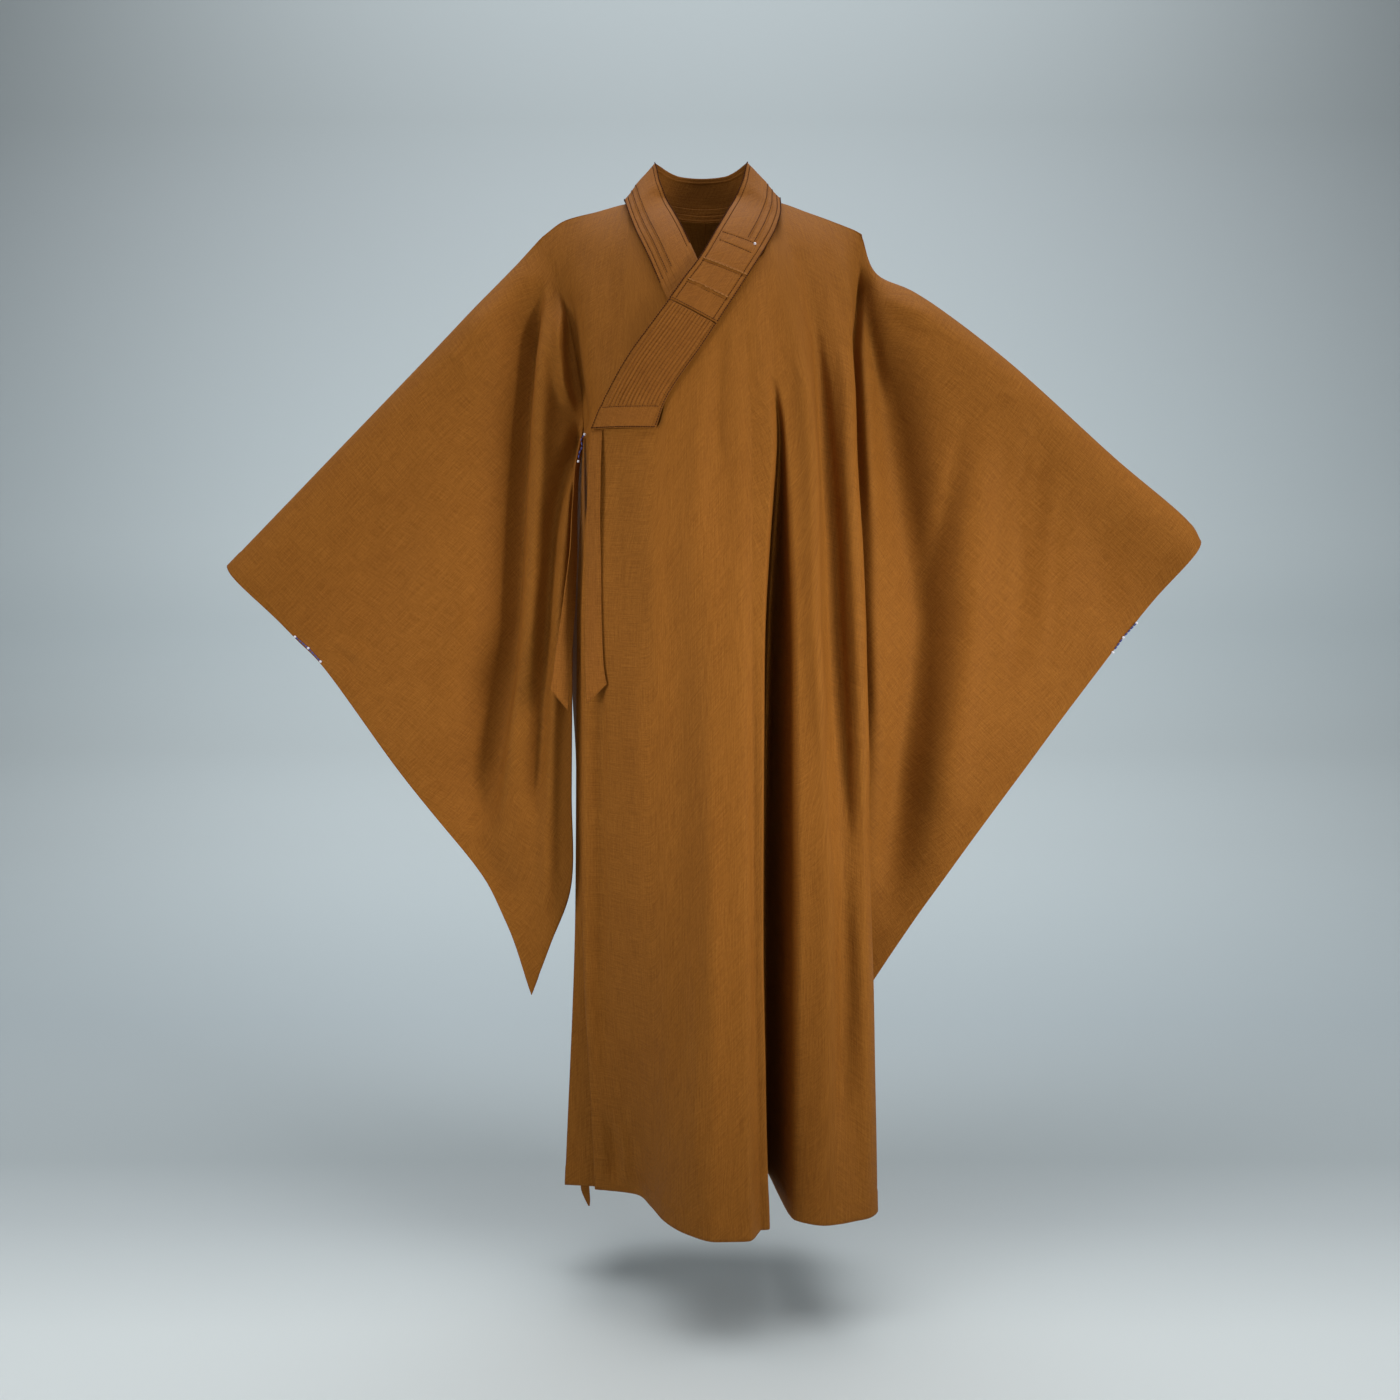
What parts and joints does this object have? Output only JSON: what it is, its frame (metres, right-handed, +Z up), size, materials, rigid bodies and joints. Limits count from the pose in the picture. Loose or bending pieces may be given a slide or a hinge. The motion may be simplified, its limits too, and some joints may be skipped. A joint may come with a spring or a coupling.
{
  "type": "buddhist monk robe",
  "caption": "Long crossed-front robe as worn, with bag sleeves, a quilted crossed neckband and cloth ties, hollow inside.",
  "frame": {"origin": "on the shoulder line in the middle of the neck, where the robe is held on the wearer", "axes": "+Z up, +X to the wearer's left, and the front faces -Y"},
  "size_m": [1.2575, 0.2779, 1.3635],
  "materials": {
    "cloth": "matt woven crepe",
    "band_cloth": "matt woven crepe, stitched"
  },
  "bodies": {
    "root": {"front_left": "cloth", "overlap_outer": "cloth", "front_right": "cloth", "back_left": "cloth", "back_right": "cloth", "sleeve_right": "cloth", "sleeve_left": "cloth", "collar": "band_cloth", "collar_quilted": "band_cloth", "tie_outer": "band_cloth", "tie_side": "band_cloth", "hem_tab": "band_cloth"}
  },
  "joints": []
}
